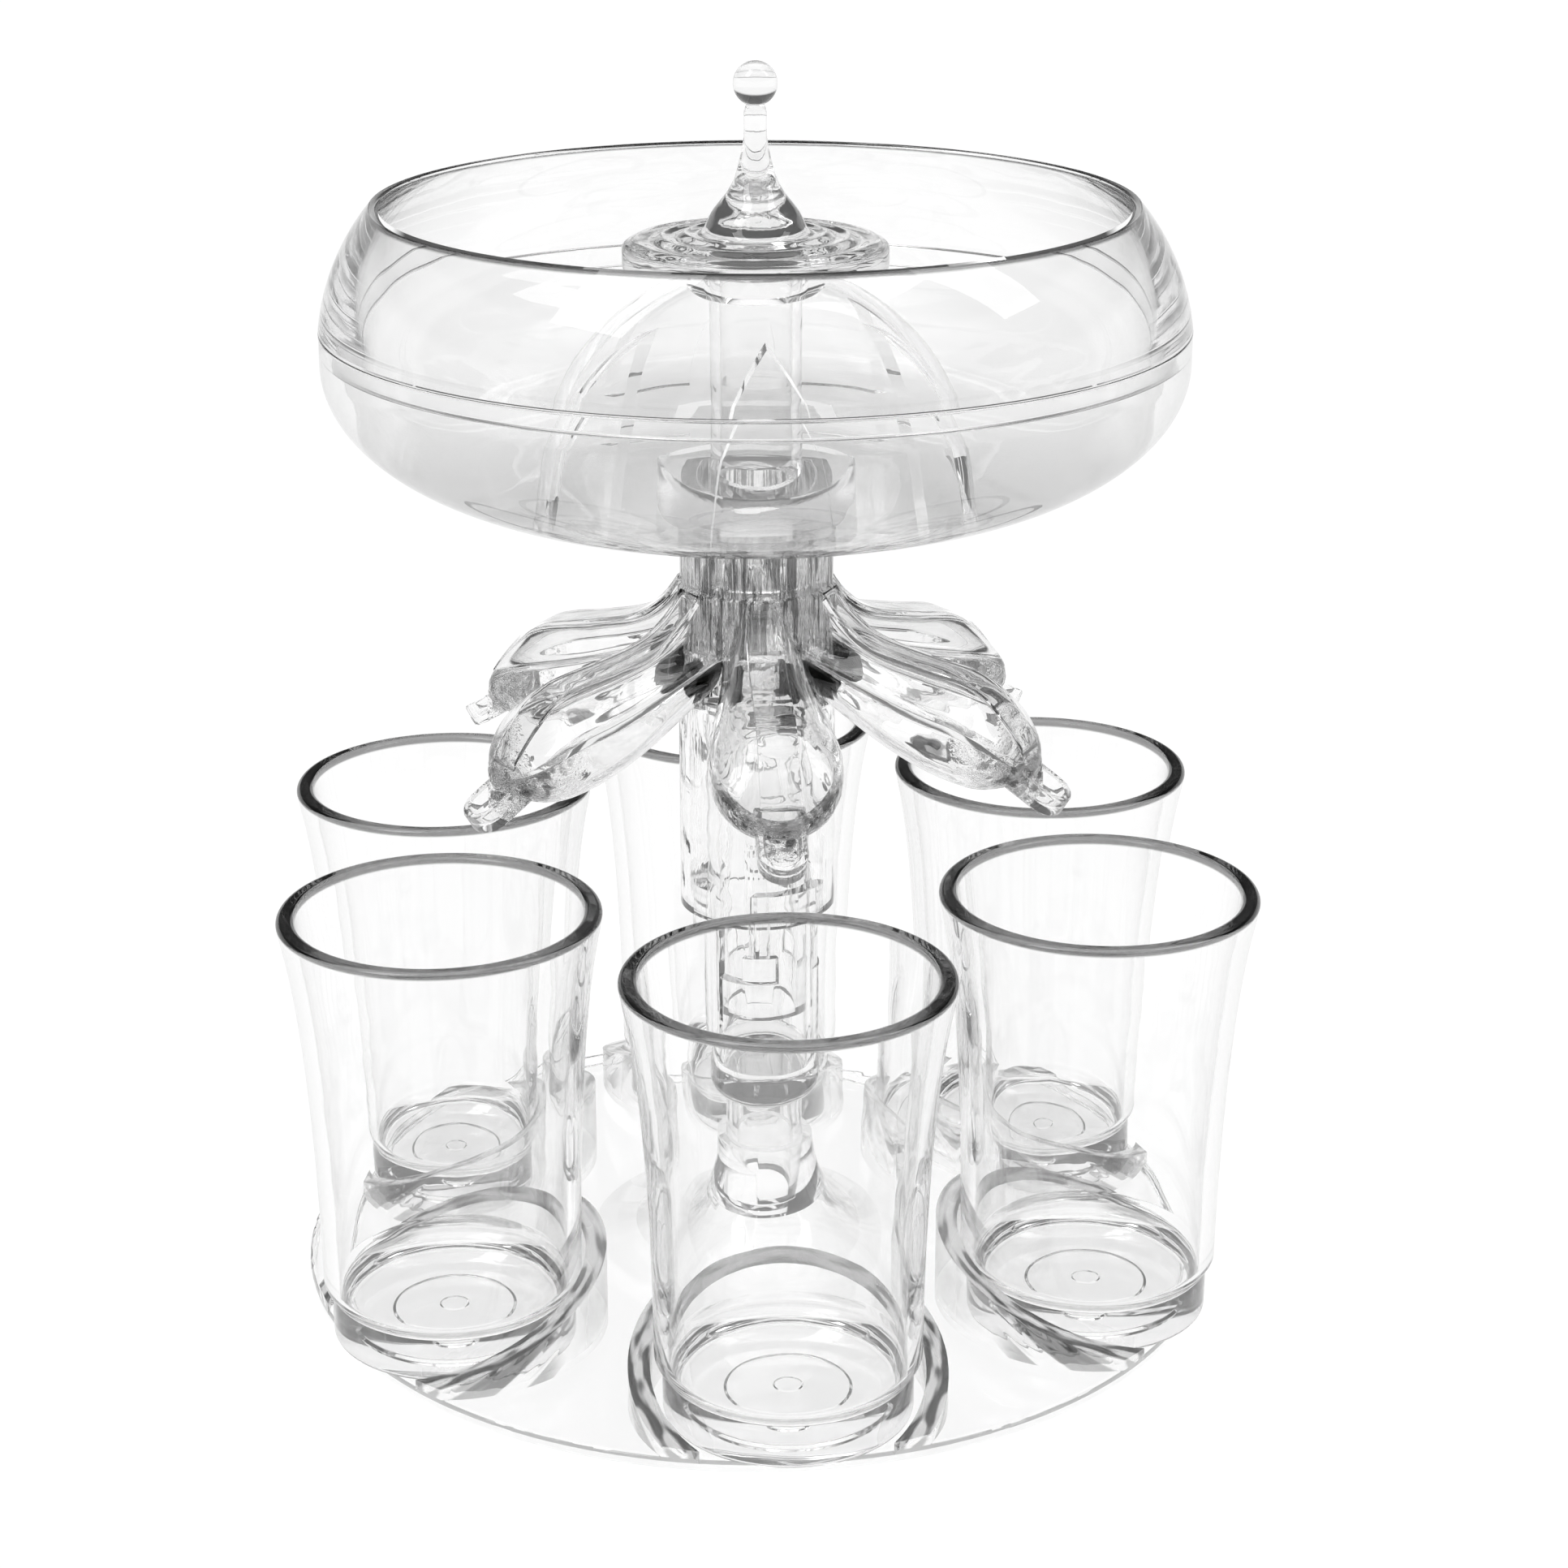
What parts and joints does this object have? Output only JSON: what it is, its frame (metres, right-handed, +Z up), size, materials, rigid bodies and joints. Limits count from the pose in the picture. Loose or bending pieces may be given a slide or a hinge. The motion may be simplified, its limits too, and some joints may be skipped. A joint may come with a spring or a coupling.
{
  "type": "party shot dispenser",
  "caption": "Clear party drink dispenser: bowl with a lift-up stopper on a post, a ring of leaf-shaped spouts, and shot cups standing in a holder tray below.",
  "frame": {"origin": "middle of the tray's underside, on the surface it stands on", "axes": "+Z up along the post; the front cup and the front spout point along -Y"},
  "size_m": [0.1516, 0.1674, 0.1961],
  "materials": {
    "tray_clear": "polished, see-through",
    "cup_clear": "polished, see-through",
    "post_clear": "polished, see-through",
    "head_clear": "polished, see-through",
    "spout_clear": "polished, see-through",
    "cover_clear": "polished, see-through",
    "bowl_clear": "polished, see-through",
    "dome_clear": "polished, see-through",
    "stopper_clear": "polished, see-through",
    "gasket_silicone": "frosted",
    "seal_silicone": "frosted"
  },
  "bodies": {
    "tray": {"holder_tray": "tray_clear"},
    "post": {"centre_post": "post_clear"},
    "head": {"head_core": "head_clear", "spout_front": "spout_clear", "spout_front_right": "spout_clear", "spout_back_right": "spout_clear", "spout_back": "spout_clear", "spout_back_left": "spout_clear", "spout_front_left": "spout_clear", "spout_cover_front": "cover_clear", "spout_cover_front_right": "cover_clear", "spout_cover_back_right": "cover_clear", "spout_cover_back": "cover_clear", "spout_cover_back_left": "cover_clear", "spout_cover_front_left": "cover_clear", "neck_gasket": "gasket_silicone"},
    "bowl": {"bowl_lower": "bowl_clear", "bowl_upper": "bowl_clear"},
    "dome": {"guide_dome": "dome_clear"},
    "stopper": {"splash_knob": "stopper_clear", "stopper_tube": "stopper_clear", "drain_seal": "seal_silicone"},
    "cup_front_body": {"cup_front": "cup_clear"},
    "cup_front_right_body": {"cup_front_right": "cup_clear"},
    "cup_back_right_body": {"cup_back_right": "cup_clear"},
    "cup_back_body": {"cup_back": "cup_clear"},
    "cup_back_left_body": {"cup_back_left": "cup_clear"},
    "cup_front_left_body": {"cup_front_left": "cup_clear"}
  },
  "joints": [
    {"name": "post_lift", "type": "slide", "parent": "tray", "child": "post", "axis": [0, 0, 1], "range_m": [0, 0.016]},
    {"name": "head_twist", "type": "hinge", "parent": "post", "child": "head", "pos_m": [0, 0, 0.06], "axis": [0, 0, -1], "range_deg": [0, 24]},
    {"name": "bowl_lift", "type": "slide", "parent": "head", "child": "bowl", "axis": [0, 0, 1], "range_m": [0, 0.018]},
    {"name": "dome_lift", "type": "slide", "parent": "bowl", "child": "dome", "axis": [0, 0, 1], "range_m": [0, 0.045]},
    {"name": "stopper_lift", "type": "slide", "parent": "dome", "child": "stopper", "axis": [0, 0, 1], "range_m": [0, 0.0195]},
    {"name": "cup_out_front", "type": "slide", "parent": "tray", "child": "cup_front_body", "axis": [0, -0.8192, 0.5736], "range_m": [0, 0.017]},
    {"name": "cup_out_front_right", "type": "slide", "parent": "tray", "child": "cup_front_right_body", "axis": [0.7094, -0.4096, 0.5736], "range_m": [0, 0.017]},
    {"name": "cup_out_back_right", "type": "slide", "parent": "tray", "child": "cup_back_right_body", "axis": [0.7094, 0.4096, 0.5736], "range_m": [0, 0.017]},
    {"name": "cup_out_back", "type": "slide", "parent": "tray", "child": "cup_back_body", "axis": [0, 0.8192, 0.5736], "range_m": [0, 0.017]},
    {"name": "cup_out_back_left", "type": "slide", "parent": "tray", "child": "cup_back_left_body", "axis": [-0.7094, 0.4096, 0.5736], "range_m": [0, 0.017]},
    {"name": "cup_out_front_left", "type": "slide", "parent": "tray", "child": "cup_front_left_body", "axis": [-0.7094, -0.4096, 0.5736], "range_m": [0, 0.017]}
  ]
}
